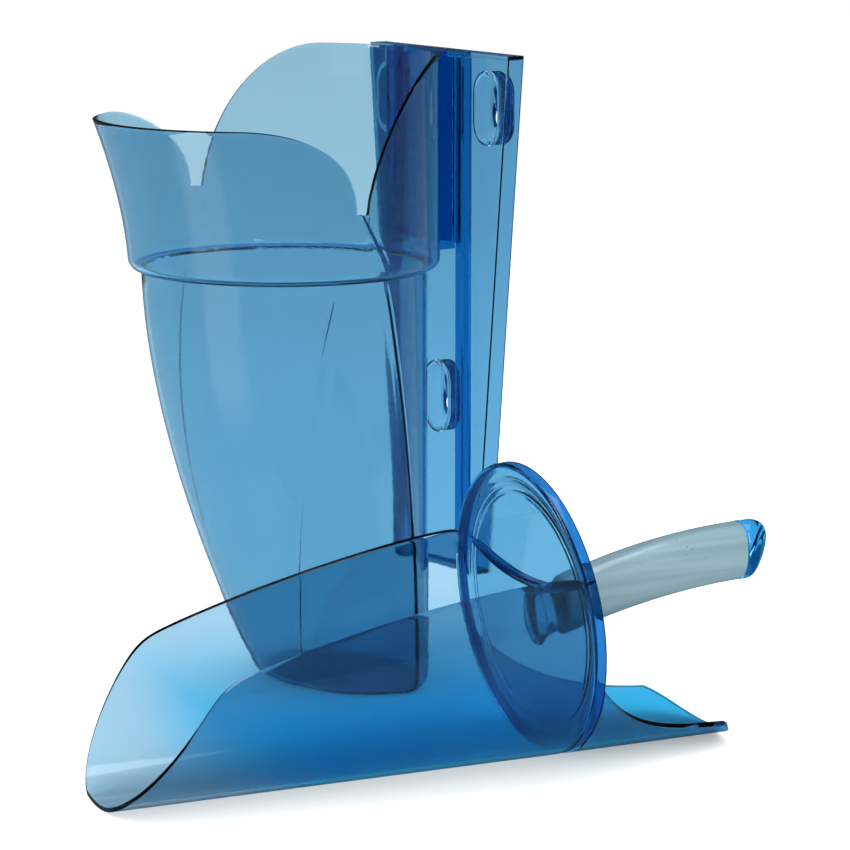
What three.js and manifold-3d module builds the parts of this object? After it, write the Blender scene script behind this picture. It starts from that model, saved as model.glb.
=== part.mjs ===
// A scoop with a hand shield, its holder cup and the wall bracket that the cup hangs on.
// Millimetres, +Z up. The origin is on the floor, in the middle of the cup's foot.
// The wall side of the holder is +Y, and the scoop lies on the floor on the +X side.
// Inside the functions y is counted from the axis of the cup's round back, FOOT_MIDDLE further off.
import * as THREE from 'three';
import { mergeVertices } from 'three/addons/utils/BufferGeometryUtils.js';
import Module from 'manifold-3d';

const wasm = await Module();
wasm.setup();

const GAP = 0.3; // between neighbouring solids
const WALL = 2.5; // moulded wall thickness of the cup, the bracket and the scoop
const CUT = 1; // how far a cutting tool runs past the face that it cuts

// Holder cup
const BODY_RADIUS = 90.8;
const BODY_TOP = 272;
const FRONT_LEAN = 83.6; // how far the front wall has moved to the wall side at floor level
const FRONT_LEAN_POWER = 1.69;
const BACK_EDGE_TOP = 10.5; // angle of the rear crease above +X, in degrees, at the body's top
const BACK_EDGE_FLOOR = 33.5;
const BACK_EDGE_POWER = 1.8;
const FRONT_HALF_TOP = 79; // half angle of the front wall in degrees, at the body's top
const FRONT_HALF_FLOOR = 14;
const FRONT_HALF_POWER = 0.85;
const SIDE_BULGE_TOP = 0.045; // bulge of a side panel over its chord
const SIDE_BULGE_FLOOR = 0.16;
const FOOT_ROUND = 7;
const FOOT_MIDDLE = 42; // from the axis of the round back to the middle of the foot
const COLLAR_RADIUS = 98.9;
const COLLAR_WALL_START = 284;
const NOTCH_ANGLE = -3.5; // the notches between the two petals, degrees above the X axis
const NOTCH_HALF_WIDTH = 2.6;
const NOTCH_HEIGHT = 315;
const BACK_PETAL = { height: 407, rise: 48, power: 0.66 };
const FRONT_PETAL = { height: 368, rise: 40, power: 0.45 };
const FLARE = 23.2; // how far the front petal leans out at its rim
const FLARE_POWER = 1.63;
const FLARE_SPREAD = 0.8;

// Wall bracket
const PLATE_FRONT = 118;
const WALL_PLANE = 130.6;
const PLATE_TOP = 405;
const PLATE_BOTTOM = 65;
const PLATE_HALF_TOP = 78;
const PLATE_HALF_BOTTOM = 44.3;
const RAIL_INNER = 34.8;
const RAIL_OUTER = 39.3;
const RAIL_DEPTH = 4.7;
const RAIL_LIP = 5.3;
const RAIL_LIP_DEPTH = 1.7;
const RAIL_TOP = 402;
const POCKET_WIDTH = 27.6;
const POCKET_HEIGHT = 47;
const POCKET_FLOOR_BACK = 130.3;
const KEYHOLE_SLOT = 6.5;
const KEYHOLE_HEAD = 12.5;
const KEYHOLE_DROP = 6.5; // the round part below the pocket's middle
const KEYHOLE_REACH = 7; // the slot's end above the pocket's middle
const POCKETS = [
  { name: 'keyhole_pocket_left', x: -54.5, z: 370.5 },
  { name: 'keyhole_pocket_right', x: 54.5, z: 370.5 },
  { name: 'keyhole_pocket_lower', x: 0, z: 177.5 },
];

// Slide at the back of the cup, which drops between the bracket's rails
const SLIDE_BOTTOM = 282;
const SLIDE_HALF = 31;
const SLIDE_FRONT = 113.7;
const SLIDE_BACK = 117.2;
const SLIDE_WEB_HALF = 24;
const SLIDE_WEB_DROP = 4; // how far the webs reach below the head plate
const SLIDE_CAP_HALF = 39.3;
const SLIDE_CAP_FRONT = 110;
const SLIDE_CAP_TOP = 406;

// Scoop, in its own frame: +X along the handle, Z up, origin on the floor below the shield
const SCOOP_PLACE = new THREE.Vector3(222.4, 37.3, 0);
const SCOOP_TURN = 81.7; // degrees, the handle's direction from +X to +Y
const SCOOP_TAPER = THREE.MathUtils.degToRad(5.8);
const SCOOP_RADIUS = 88.6;
const TROUGH_TIP = -285;
const TROUGH_TOP = 121.5;
const TROUGH_TOP_START = -10;
const TROUGH_TOP_RUN = 216;
const TROUGH_TOP_DROP = 39;
const TROUGH_TOP_POWER = 1.9;
const TROUGH_FRONT_SLOPE = 1.55;
const TROUGH_CORNER = 5;
const SHIELD_BACK = 5.5;
const SHIELD_FRONT = -1.5;
const SHIELD_STEP_RADIUS = 77;
const RIB_ENDS = 121; // height of the rib behind the shield at its two ends
const RIB_MIDDLE = 105;
const RIB_HALF = 80;
const GUARD_END = 119;
const GUARD_ROUND_START = 92;
const GUARD_HALF_WIDTH = 52;
const GUARD_LOW = 13.5;
const GUARD_FALL = 41.5;
const GUARD_FALL_LENGTH = 32;
const GUARD_WALL = 3;

// Handle
const HANDLE_HIGH = 110.5;
const HANDLE_FALL = 27.5;
const HANDLE_LENGTH = 155;
const GRIP_START = 15;
const GRIP_END = 138;
const GRIP_HALF_WIDTH = 14.5;
const GRIP_HALF_HEIGHT = 18.2;
const CORE_HALF_WIDTH = 10;
const CORE_HALF_HEIGHT = 13;

const cosd = (degrees) => Math.cos(THREE.MathUtils.degToRad(degrees));
const sind = (degrees) => Math.sin(THREE.MathUtils.degToRad(degrees));
const lerp = THREE.MathUtils.lerp;

function plastic(color, opacity) {
  return new THREE.MeshStandardMaterial({
    color, roughness: 0.12, metalness: 0, opacity, transparent: opacity < 1,
  });
}
const bluePlastic = () => plastic(0x2f86c4, 0.45);
const coreBlue = () => plastic(0x0a5aa6, 1);
const gripRubber = () => new THREE.MeshStandardMaterial({ color: 0x9fbac4, roughness: 0.55, metalness: 0 });

// Joins equal corners, drops flat triangles and turns the faces outward.
function closedSolid(source) {
  const geometry = source.clone();
  geometry.deleteAttribute('normal');
  geometry.deleteAttribute('uv');
  const merged = mergeVertices(geometry, 1e-4);
  const corners = merged.attributes.position;
  const kept = [];
  let volume = 0;
  const a = new THREE.Vector3();
  const b = new THREE.Vector3();
  const c = new THREE.Vector3();
  for (let i = 0; i < merged.index.count; i += 3) {
    const [p, q, r] = [0, 1, 2].map((k) => merged.index.getX(i + k));
    if (p !== q && q !== r && r !== p) {
      kept.push([p, q, r]);
      a.fromBufferAttribute(corners, p);
      b.fromBufferAttribute(corners, q);
      c.fromBufferAttribute(corners, r);
      volume += a.dot(b.cross(c));
    }
  }
  const turned = kept.map(([p, q, r]) => (volume < 0 ? [p, r, q] : [p, q, r]));
  merged.setIndex(turned.flat());
  return merged;
}

// A shell spun once around, whose corner at (turn, row) is put where place says.
function spunSolid(turns, rows, place) {
  const profile = Array.from({ length: rows }, (_, row) => new THREE.Vector2(1, row));
  const geometry = new THREE.LatheGeometry(profile, turns);
  const corners = geometry.attributes.position;
  for (let turn = 0; turn <= turns; turn += 1) {
    for (let row = 0; row < rows; row += 1) {
      const spot = place(turn % turns, row);
      corners.setXYZ(turn * rows + row, spot.x, spot.y, spot.z);
    }
  }
  return closedSolid(geometry);
}

// A block with a grid of corners on its faces, bent into a curved plate by place(u, v, w).
function bentPlate(along, across, place) {
  const geometry = new THREE.BoxGeometry(1, 1, 1, along, across, 1);
  const corners = geometry.attributes.position;
  for (let i = 0; i < corners.count; i += 1) {
    const spot = place(corners.getX(i) + 0.5, corners.getY(i) + 0.5, corners.getZ(i) + 0.5);
    corners.setXYZ(i, spot.x, spot.y, spot.z);
  }
  return closedSolid(geometry);
}

function toManifold(geometry) {
  const solid = closedSolid(geometry);
  const mesh = new wasm.Mesh({
    numProp: 3,
    vertProperties: new Float32Array(solid.attributes.position.array),
    triVerts: new Uint32Array(solid.index.array),
  });
  return new wasm.Manifold(mesh);
}

function fromManifold(manifold) {
  const mesh = manifold.getMesh();
  const geometry = new THREE.BufferGeometry();
  geometry.setAttribute('position', new THREE.BufferAttribute(new Float32Array(mesh.vertProperties), 3));
  geometry.setIndex(new THREE.BufferAttribute(new Uint32Array(mesh.triVerts), 1));
  return geometry;
}

function combine(base, added, removed) {
  let solid = toManifold(base);
  for (const piece of added) {
    solid = solid.add(toManifold(piece));
  }
  for (const piece of removed) {
    solid = solid.subtract(toManifold(piece));
  }
  return fromManifold(solid);
}

function named(name, geometry, material) {
  const shaded = geometry.clone();
  shaded.computeVertexNormals();
  const mesh = new THREE.Mesh(shaded, material);
  mesh.name = name;
  return mesh;
}

// A box between two corners.
function block(low, high) {
  const size = [0, 1, 2].map((k) => high[k] - low[k]);
  const middle = [0, 1, 2].map((k) => (high[k] + low[k]) / 2);
  return new THREE.BoxGeometry(...size).translate(...middle);
}

// An outline in the XZ plane carried from front to back along Y.
function prismAlongY(shape, front, back) {
  const geometry = new THREE.ExtrudeGeometry(shape, { depth: back - front, bevelEnabled: false, curveSegments: 16 });
  return geometry.rotateX(Math.PI / 2).translate(0, back, 0);
}

// ---------- holder cup ----------

// The cup's section at height z: a round back, two side panels and a round front that leans in.
const BACK_STEPS = 18;
const SIDE_STEPS = 6;
const FRONT_STEPS = 14;
const BODY_TURNS = BACK_STEPS + FRONT_STEPS + 2 * SIDE_STEPS;

function bodySection(z, inset) {
  const rise = THREE.MathUtils.clamp(z / BODY_TOP, 0, 1);
  const lean = FRONT_LEAN * (1 - rise) ** FRONT_LEAN_POWER;
  const backEdge = lerp(BACK_EDGE_FLOOR, BACK_EDGE_TOP, rise ** BACK_EDGE_POWER);
  const frontHalf = lerp(FRONT_HALF_FLOOR, FRONT_HALF_TOP, rise ** FRONT_HALF_POWER);
  const radius = BODY_RADIUS - inset;
  const rear = new THREE.Vector2(radius * cosd(backEdge), radius * sind(backEdge));
  const front = new THREE.Vector2(radius * sind(frontHalf), lean - radius * cosd(frontHalf));
  const chord = rear.clone().sub(front);
  const outward = new THREE.Vector2(chord.y, -chord.x).normalize();
  const bulge = chord.length() * lerp(SIDE_BULGE_FLOOR, SIDE_BULGE_TOP, rise);
  const side = (share) => {
    const spot = front.clone().lerp(rear, share);
    return spot.addScaledVector(outward, 4 * bulge * share * (1 - share));
  };
  return { lean, backEdge, frontHalf, radius, side };
}

function bodyPoint(turn, z, inset) {
  const { lean, backEdge, frontHalf, radius, side } = bodySection(z, inset);
  if (turn < BACK_STEPS) {
    const angle = lerp(backEdge, 180 - backEdge, turn / BACK_STEPS);
    return new THREE.Vector3(radius * cosd(angle), radius * sind(angle), z);
  }
  if (turn < BACK_STEPS + SIDE_STEPS) {
    const spot = side(1 - (turn - BACK_STEPS) / SIDE_STEPS);
    return new THREE.Vector3(-spot.x, spot.y, z);
  }
  if (turn < BACK_STEPS + SIDE_STEPS + FRONT_STEPS) {
    const angle = lerp(-frontHalf, frontHalf, (turn - BACK_STEPS - SIDE_STEPS) / FRONT_STEPS);
    return new THREE.Vector3(radius * sind(angle), lean - radius * cosd(angle), z);
  }
  const spot = side((turn - BACK_STEPS - SIDE_STEPS - FRONT_STEPS) / SIDE_STEPS);
  return new THREE.Vector3(spot.x, spot.y, z);
}

function cupBody() {
  const heights = [0.1, 0.22, 0.36, 0.5, 0.64, 0.78, 0.9].map((share) => share * BODY_TOP);
  const outer = [[0, FOOT_ROUND], [FOOT_ROUND * 0.3, FOOT_ROUND * 0.3], [FOOT_ROUND, 0]];
  for (const z of heights) {
    outer.push([z, 0]);
  }
  outer.push([BODY_TOP - GAP, 0]);
  const inner = outer.slice(1).reverse().map(([z, inset]) => [z, inset + WALL]);
  inner.push([WALL, FOOT_ROUND]);
  const rows = [...outer, ...inner];
  const middle = (z) => new THREE.Vector3(0, BODY_RADIUS / 2, z);
  return spunSolid(BODY_TURNS, rows.length + 2, (turn, row) => {
    if (row === 0) {
      return middle(0);
    }
    if (row === rows.length + 1) {
      return middle(WALL);
    }
    const [z, inset] = rows[row - 1];
    return bodyPoint(turn, z, inset);
  });
}

const QUARTER_STEPS = 14;
const COLLAR_TURNS = 4 * QUARTER_STEPS;
const QUARTER_CROWDING = 1.8; // steps crowd together towards the notches

// The angle of a step round the collar, in degrees, counted from the notch on +X.
function collarAngle(turn) {
  const quarter = Math.floor(turn / QUARTER_STEPS);
  const step = turn % QUARTER_STEPS;
  const backHalf = 90 - NOTCH_ANGLE;
  const frontHalf = 90 + NOTCH_ANGLE;
  const near = (half) => half * (step / QUARTER_STEPS) ** QUARTER_CROWDING;
  const far = (half) => half - half * (1 - step / QUARTER_STEPS) ** QUARTER_CROWDING;
  const starts = [NOTCH_ANGLE, 90, 180 - NOTCH_ANGLE, 270];
  const spans = [near(backHalf), far(backHalf), near(frontHalf), far(frontHalf)];
  return starts[quarter] + spans[quarter];
}

function rimHeight(angle) {
  const onBack = sind(angle) > sind(NOTCH_ANGLE);
  const petal = onBack ? BACK_PETAL : FRONT_PETAL;
  const fromFront = Math.abs(((angle + 90 + 180) % 360) - 180);
  const notchFromFront = 90 + NOTCH_ANGLE;
  const away = Math.max(0, Math.abs(fromFront - notchFromFront) - NOTCH_HALF_WIDTH);
  const share = Math.min(1, away / petal.rise);
  return NOTCH_HEIGHT + (petal.height - NOTCH_HEIGHT) * (1 - (1 - share) ** 2) ** petal.power;
}

function flareAt(angle, z) {
  const facing = Math.max(0, -sind(angle)) ** FLARE_SPREAD;
  const rise = Math.max(0, (z - BODY_TOP) / (FRONT_PETAL.height - BODY_TOP));
  return FLARE * facing * rise ** FLARE_POWER;
}

function cupCollar() {
  const shoulder = [[BODY_RADIUS, BODY_TOP], [92.8, 272.8], [97, 277.2], [COLLAR_RADIUS, COLLAR_WALL_START]];
  const shoulderInside = [[96.4, 285], [94.8, 279.8], [91.6, 276], [BODY_RADIUS - WALL, 274.8]];
  const shares = [0.2, 0.4, 0.6, 0.8, 1];
  const wall = (inset) => shares.map((share) => ({ share, inset }));
  const rows = [
    ...shoulder,
    ...wall(0),
    ...wall(WALL).reverse(),
    ...shoulderInside,
    [BODY_RADIUS - WALL, BODY_TOP],
    [BODY_RADIUS, BODY_TOP],
  ];
  return spunSolid(COLLAR_TURNS, rows.length, (turn, row) => {
    const angle = collarAngle(turn);
    const spot = rows[row];
    let radius;
    let z;
    if (Array.isArray(spot)) {
      [radius, z] = spot;
      radius += z > BODY_TOP + CUT ? flareAt(angle, z) : 0;
    } else {
      z = lerp(COLLAR_WALL_START, rimHeight(angle), spot.share);
      radius = COLLAR_RADIUS - spot.inset + flareAt(angle, z);
    }
    return new THREE.Vector3(radius * cosd(angle), radius * sind(angle), z);
  });
}

// Two webs, a head plate that runs between the rails, and a cap that rests on the rails' tops.
function cupSlide() {
  const head = block([-SLIDE_HALF, SLIDE_FRONT, SLIDE_BOTTOM], [SLIDE_HALF, SLIDE_BACK, SLIDE_CAP_TOP]);
  const cap = block([-SLIDE_CAP_HALF, SLIDE_CAP_FRONT, RAIL_TOP + GAP], [SLIDE_CAP_HALF, SLIDE_BACK, SLIDE_CAP_TOP]);
  const webStart = COLLAR_RADIUS * cosd(22);
  const webs = [-1, 1].map((sign) => block(
    [sign * SLIDE_WEB_HALF - WALL / 2, webStart, SLIDE_BOTTOM - SLIDE_WEB_DROP],
    [sign * SLIDE_WEB_HALF + WALL / 2, SLIDE_FRONT + CUT, SLIDE_CAP_TOP],
  ));
  const collarSpace = new THREE.CylinderGeometry(
    COLLAR_RADIUS + GAP, COLLAR_RADIUS + GAP, SLIDE_CAP_TOP, 96,
  ).rotateX(Math.PI / 2).translate(0, 0, SLIDE_CAP_TOP / 2 + COLLAR_WALL_START / 2);
  return combine(head, [cap, ...webs], [collarSpace]);
}

// ---------- wall bracket ----------

function plateOutline(inset) {
  const slope = (PLATE_HALF_TOP - PLATE_HALF_BOTTOM) / (PLATE_TOP - PLATE_BOTTOM);
  const side = inset * Math.hypot(1, slope);
  const half = (z) => PLATE_HALF_BOTTOM + slope * (z - PLATE_BOTTOM) - side;
  const top = PLATE_TOP - inset;
  const bottom = PLATE_BOTTOM + inset;
  const shape = new THREE.Shape();
  shape.moveTo(half(top), top);
  shape.lineTo(-half(top), top);
  shape.lineTo(-half(bottom), bottom);
  shape.lineTo(half(bottom), bottom);
  shape.closePath();
  return shape;
}

function stadium(x, z, width, height) {
  const radius = width / 2;
  const reach = height / 2 - radius;
  const shape = new THREE.Shape();
  shape.absarc(x, z + reach, radius, 0, Math.PI, false);
  shape.absarc(x, z - reach, radius, Math.PI, 2 * Math.PI, false);
  shape.closePath();
  return shape;
}

function bracketPlate() {
  const outside = prismAlongY(plateOutline(0), PLATE_FRONT, WALL_PLANE);
  const hollow = prismAlongY(plateOutline(WALL), PLATE_FRONT + WALL, WALL_PLANE + CUT);
  const holes = POCKETS.map(({ x, z }) => prismAlongY(
    stadium(x, z, POCKET_WIDTH + 2 * GAP, POCKET_HEIGHT + 2 * GAP), PLATE_FRONT - CUT, PLATE_FRONT + WALL + CUT,
  ));
  return combine(outside, [], [hollow, ...holes]);
}

// A rail: a rib that stands on the plate, with a lip that keeps the slide's head plate in.
function bracketRail(sign) {
  const front = PLATE_FRONT - RAIL_DEPTH;
  const section = [
    [RAIL_OUTER, PLATE_FRONT - GAP], [RAIL_OUTER, front - RAIL_LIP_DEPTH],
    [RAIL_INNER - RAIL_LIP, front - RAIL_LIP_DEPTH], [RAIL_INNER - RAIL_LIP, front],
    [RAIL_INNER, front], [RAIL_INNER, PLATE_FRONT - GAP],
  ];
  const shape = new THREE.Shape(section.map(([x, y]) => new THREE.Vector2(sign * x, y)));
  const height = RAIL_TOP - PLATE_BOTTOM - WALL;
  return new THREE.ExtrudeGeometry(shape, { depth: height, bevelEnabled: false })
    .translate(0, 0, PLATE_BOTTOM + WALL);
}

// A shallow cup through the plate, with the keyhole in its floor near the wall.
function keyholePocket({ x, z }) {
  const outside = prismAlongY(stadium(x, z, POCKET_WIDTH, POCKET_HEIGHT), PLATE_FRONT, POCKET_FLOOR_BACK);
  const hollow = prismAlongY(
    stadium(x, z, POCKET_WIDTH - 2 * WALL, POCKET_HEIGHT - 2 * WALL), PLATE_FRONT - CUT, POCKET_FLOOR_BACK - WALL,
  );
  const through = [POCKET_FLOOR_BACK - WALL - CUT, POCKET_FLOOR_BACK + CUT];
  const head = new THREE.CylinderGeometry(
    KEYHOLE_HEAD / 2, KEYHOLE_HEAD / 2, through[1] - through[0], 20,
  ).translate(x, (through[0] + through[1]) / 2, z - KEYHOLE_DROP);
  const slotMiddle = z + (KEYHOLE_REACH - KEYHOLE_DROP) / 2;
  const slotHeight = KEYHOLE_REACH + KEYHOLE_DROP + KEYHOLE_SLOT;
  const slot = prismAlongY(stadium(x, slotMiddle, KEYHOLE_SLOT, slotHeight), ...through);
  return combine(outside, [], [hollow, head, slot]);
}

// ---------- scoop ----------

const taper = Math.tan(SCOOP_TAPER);
const troughRadius = (t) => SCOOP_RADIUS + taper * t;

// Height of the trough's edge at t: the long top edge, and the slanted front edge, rounded together.
function troughEdge(t) {
  const back = Math.max(0, (TROUGH_TOP_START - t) / TROUGH_TOP_RUN);
  const top = TROUGH_TOP - TROUGH_TOP_DROP * back ** TROUGH_TOP_POWER;
  const front = TROUGH_FRONT_SLOPE * (t - TROUGH_TIP);
  return -TROUGH_CORNER * Math.log(Math.exp(-top / TROUGH_CORNER) + Math.exp(-front / TROUGH_CORNER));
}

// A point on a shell round the scoop's axis: swing is the angle from the bottom, in radians.
function shellPoint(t, radius, swing, inset) {
  const inner = radius - inset;
  return new THREE.Vector3(t, inner * Math.sin(swing), radius - inner * Math.cos(swing));
}

function scoopTrough() {
  const crowding = 1.7; // rows crowd together towards the tip
  return bentPlate(22, 24, (u, v, w) => {
    const t0 = lerp(TROUGH_TIP + 2.2, TROUGH_TOP_START, u ** crowding);
    const radius0 = troughRadius(t0);
    const edge = THREE.MathUtils.clamp(troughEdge(t0), 1.2, TROUGH_TOP);
    const reach = Math.acos(1 - edge / radius0);
    const swing = lerp(-reach, reach, v);
    const height = radius0 * (1 - Math.cos(swing));
    const backPlane = (SHIELD_FRONT - GAP) / Math.cos(SCOOP_TAPER) - height * taper;
    const t = lerp(t0, backPlane, u ** 6);
    return shellPoint(t, troughRadius(t), swing, w * WALL);
  });
}

// The shield's frame: its axis is tipped up by the taper, so that it stands square to the trough.
function shieldFrame(geometry) {
  return geometry.translate(0, 0, SCOOP_RADIUS).rotateY(-SCOOP_TAPER).translate(0, 0, GAP);
}

function shieldRib() {
  const thick = 4;
  const depth = 6;
  return bentPlate(16, 1, (u, v, w) => {
    const y = lerp(-RIB_HALF, RIB_HALF, u);
    const middle = lerp(RIB_MIDDLE, RIB_ENDS, (y / RIB_HALF) ** 2) - SCOOP_RADIUS;
    const x = lerp(SHIELD_BACK - 2, SHIELD_BACK + depth - 2, w);
    return new THREE.Vector3(x, y, middle + lerp(-thick / 2, thick / 2, v));
  });
}

function scoopShield() {
  const rim = SCOOP_RADIUS;
  const profile = [
    [0, 2], [SHIELD_STEP_RADIUS, 2], [SHIELD_STEP_RADIUS + 4, SHIELD_FRONT], [rim, SHIELD_FRONT],
    [rim, SHIELD_BACK], [rim - WALL, SHIELD_BACK], [rim - WALL, SHIELD_FRONT + WALL],
    [SHIELD_STEP_RADIUS + 5, SHIELD_FRONT + WALL], [SHIELD_STEP_RADIUS + 1, 2 + WALL], [0, 2 + WALL],
  ].map(([radius, along]) => new THREE.Vector2(radius, along));
  const disc = new THREE.LatheGeometry(profile, 56).rotateZ(-Math.PI / 2);
  return shieldFrame(combine(disc, [shieldRib()], []));
}

// Height of the guard's side edge at t, behind the shield.
function guardEdge(t) {
  const sweep = GUARD_LOW + GUARD_FALL * Math.exp(-t / GUARD_FALL_LENGTH);
  if (t <= GUARD_ROUND_START) {
    return sweep;
  }
  const share = Math.min(1, (t - GUARD_ROUND_START) / (GUARD_END - GUARD_ROUND_START));
  const width = Math.max(6, GUARD_HALF_WIDTH * Math.sqrt(1 - share ** 2));
  return Math.min(sweep, SCOOP_RADIUS - Math.sqrt(SCOOP_RADIUS ** 2 - width ** 2));
}

function scoopGuard() {
  const crowding = 1.5; // rows crowd together towards the rounded end
  return bentPlate(20, 14, (u, v, w) => {
    const t0 = lerp(GUARD_END, 0, (1 - u) ** crowding);
    const reach = Math.acos(1 - guardEdge(t0) / SCOOP_RADIUS);
    const swing = lerp(-reach, reach, v);
    const height = SCOOP_RADIUS * (1 - Math.cos(swing));
    const start = (SHIELD_BACK + GAP) / Math.cos(SCOOP_TAPER) - height * taper;
    const t = lerp(start, GUARD_END, t0 / GUARD_END);
    return shellPoint(t, SCOOP_RADIUS, swing, w * GUARD_WALL);
  });
}

// ---------- handle ----------

const HANDLE_TURNS = 24;
const handleHeight = (t) => HANDLE_HIGH - HANDLE_FALL * (1 - t / HANDLE_LENGTH) ** 2;

// A corner of an oval slice across the handle. lean moves the top of the slice away from the scoop.
function ovalPoint(turn, { t, width, height, lean = 0 }) {
  const angle = (turn / HANDLE_TURNS) * 360;
  const up = height * sind(angle);
  return new THREE.Vector3(t + lean * up, width * cosd(angle), handleHeight(t) + up);
}

function handleCore() {
  const slice = (t, width, height, lean = 0) => ({ t, width, height, lean });
  const root = SHIELD_BACK + GAP + 0.5;
  const rootStart = root - handleHeight(root) * taper;
  const end = GRIP_END + GAP;
  const slices = [
    slice(rootStart, 0, 0),
    slice(rootStart, CORE_HALF_WIDTH + 3, CORE_HALF_HEIGHT + 3, -taper),
    slice(2, CORE_HALF_WIDTH, CORE_HALF_HEIGHT),
    ...[20, 45, 70, 95, 120].map((t) => slice(t, CORE_HALF_WIDTH, CORE_HALF_HEIGHT)),
    slice(end, CORE_HALF_WIDTH, CORE_HALF_HEIGHT),
    slice(end, GRIP_HALF_WIDTH, GRIP_HALF_HEIGHT),
    slice(146, GRIP_HALF_WIDTH, GRIP_HALF_HEIGHT - 0.2, 0.17),
    slice(149.5, GRIP_HALF_WIDTH - 1.5, GRIP_HALF_HEIGHT - 2, 0.3),
    slice(152, GRIP_HALF_WIDTH - 5, GRIP_HALF_HEIGHT - 6.7, 0.36),
    slice(152.8, 0, 0),
  ];
  return spunSolid(HANDLE_TURNS, slices.length, (turn, row) => ovalPoint(turn, slices[row]));
}

function gripSleeve() {
  const stations = [GRIP_START, 35, 60, 85, 110, 130, GRIP_END];
  const bore = 0.3;
  const ring = (t, width, height) => ({ t, width, height });
  const outer = stations.map((t) => ring(t, GRIP_HALF_WIDTH, GRIP_HALF_HEIGHT));
  const inner = stations.map((t) => ring(t, CORE_HALF_WIDTH + bore, CORE_HALF_HEIGHT + bore)).reverse();
  const rows = [...outer, ...inner, outer[0]];
  return spunSolid(HANDLE_TURNS, rows.length, (turn, row) => ovalPoint(turn, rows[row]));
}

// ---------- assembly ----------

const holder = new THREE.Group();
holder.add(
  named('cup_body', cupBody(), bluePlastic()),
  named('cup_collar', cupCollar(), bluePlastic()),
  named('cup_slide', cupSlide(), bluePlastic()),
  named('bracket_plate', bracketPlate(), bluePlastic()),
  named('bracket_rail_left', bracketRail(-1), bluePlastic()),
  named('bracket_rail_right', bracketRail(1), bluePlastic()),
);
for (const pocket of POCKETS) {
  holder.add(named(pocket.name, keyholePocket(pocket), bluePlastic()));
}

const scoop = new THREE.Group();
scoop.position.copy(SCOOP_PLACE);
scoop.rotation.z = THREE.MathUtils.degToRad(SCOOP_TURN);
scoop.add(
  named('scoop_trough', scoopTrough(), bluePlastic()),
  named('scoop_shield', scoopShield(), bluePlastic()),
  named('scoop_guard', scoopGuard(), bluePlastic()),
  named('handle_core', handleCore(), coreBlue()),
  named('grip_sleeve', gripSleeve(), gripRubber()),
);

const part = new THREE.Group();
part.position.y = -FOOT_MIDDLE;
part.add(holder, scoop);

export default part;
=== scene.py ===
"""A clear blue scoop lying beside its holder: a tulip cup standing on its foot, slid onto a wall bracket."""
import math

import bmesh
import bpy
import numpy as np
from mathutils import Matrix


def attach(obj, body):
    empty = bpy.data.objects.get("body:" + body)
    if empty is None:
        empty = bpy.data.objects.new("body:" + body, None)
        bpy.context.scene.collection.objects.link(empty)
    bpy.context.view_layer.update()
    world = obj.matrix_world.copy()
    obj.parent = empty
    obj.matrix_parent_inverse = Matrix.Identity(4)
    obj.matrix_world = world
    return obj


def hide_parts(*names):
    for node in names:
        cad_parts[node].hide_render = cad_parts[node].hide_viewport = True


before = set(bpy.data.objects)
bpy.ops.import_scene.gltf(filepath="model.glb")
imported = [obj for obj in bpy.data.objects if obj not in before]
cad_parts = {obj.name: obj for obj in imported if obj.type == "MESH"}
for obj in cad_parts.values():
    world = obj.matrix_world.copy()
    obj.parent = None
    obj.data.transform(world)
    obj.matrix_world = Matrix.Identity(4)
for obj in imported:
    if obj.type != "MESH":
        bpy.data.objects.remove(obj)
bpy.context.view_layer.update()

MM = 0.001
FOOT_MIDDLE = 42.0  # the row's origin is this far behind the axis of the cup's round back
WALL = 2.5
GAP = 0.3  # between neighbouring parts of one moulding

# holder cup
BODY_RADIUS = 90.8
BODY_TOP = 272.0
BACK_EDGE_TOP = 10.5
FRONT_HALF_TOP = 79.0
FOOT_ROUND = 7.0
COLLAR_RADIUS = 98.9
COLLAR_ROUND = 7.0
NOTCH_ANGLE = -3.5
NOTCH_HALF_WIDTH = 2.6
NOTCH_HEIGHT = 315.0
BACK_PETAL = (407.0, 48.0, 0.66)  # height, degrees from notch to full height, fullness
FRONT_PETAL = (368.0, 40.0, 0.45)
FLARE = 23.2
CREASE_WIDTH = 0.9  # degrees

# wall bracket
PLATE_FRONT = 118.0
POCKET_BACK = 130.3
POCKET_HALF = 13.8
POCKET_REACH = 9.7
POCKET_FLOOR = 1.6
KEYHOLE_HEAD = 6.25
KEYHOLE_SLOT = 3.25
KEYHOLE_TOP = 13.5
KEYHOLE_DROP = 6.5
POCKETS = {"left": (-54.5, 370.5), "right": (54.5, 370.5), "lower": (0.0, 177.5)}

# scoop
SCOOP_PLACE = (222.4, 37.3)
SCOOP_TURN = math.radians(81.7)
SCOOP_TAPER = math.radians(5.8)
SCOOP_RADIUS = 88.6
TROUGH_TIP = -285.0
TROUGH_BACK = -10.0
TROUGH_HEIGHT = 121.5
SHIELD_FRONT = -1.5
SHIELD_BACK = 5.5
SHIELD_LIP = 86.0
RIB_HALF = 80.0
GUARD_END = 119.0
GUARD_ROUND_START = 92.0
GUARD_WALL = 3.0
GRIP_START = 15.0
GRIP_END = 138.0


# ---------- mesh helpers ----------

def holder_place(points):
    """Holder millimetres, counted from the axis of the cup's back, to metres in the row's frame."""
    return (points - np.array([0.0, FOOT_MIDDLE, 0.0])) * MM


def scoop_place(points):
    """Scoop millimetres (along, across, up) turned to the handle's direction and put on the floor."""
    along, across, up = points[..., 0], points[..., 1], points[..., 2]
    cos, sin = math.cos(SCOOP_TURN), math.sin(SCOOP_TURN)
    x = SCOOP_PLACE[0] + cos * along - sin * across
    y = SCOOP_PLACE[1] + sin * along + cos * across
    return holder_place(np.stack([x, y, up], -1))


def squarer(wave, power):
    """A sine or cosine whose size is raised to a power, which makes an oval rounder-shouldered."""
    return np.sign(wave) * np.abs(wave) ** power


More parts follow.
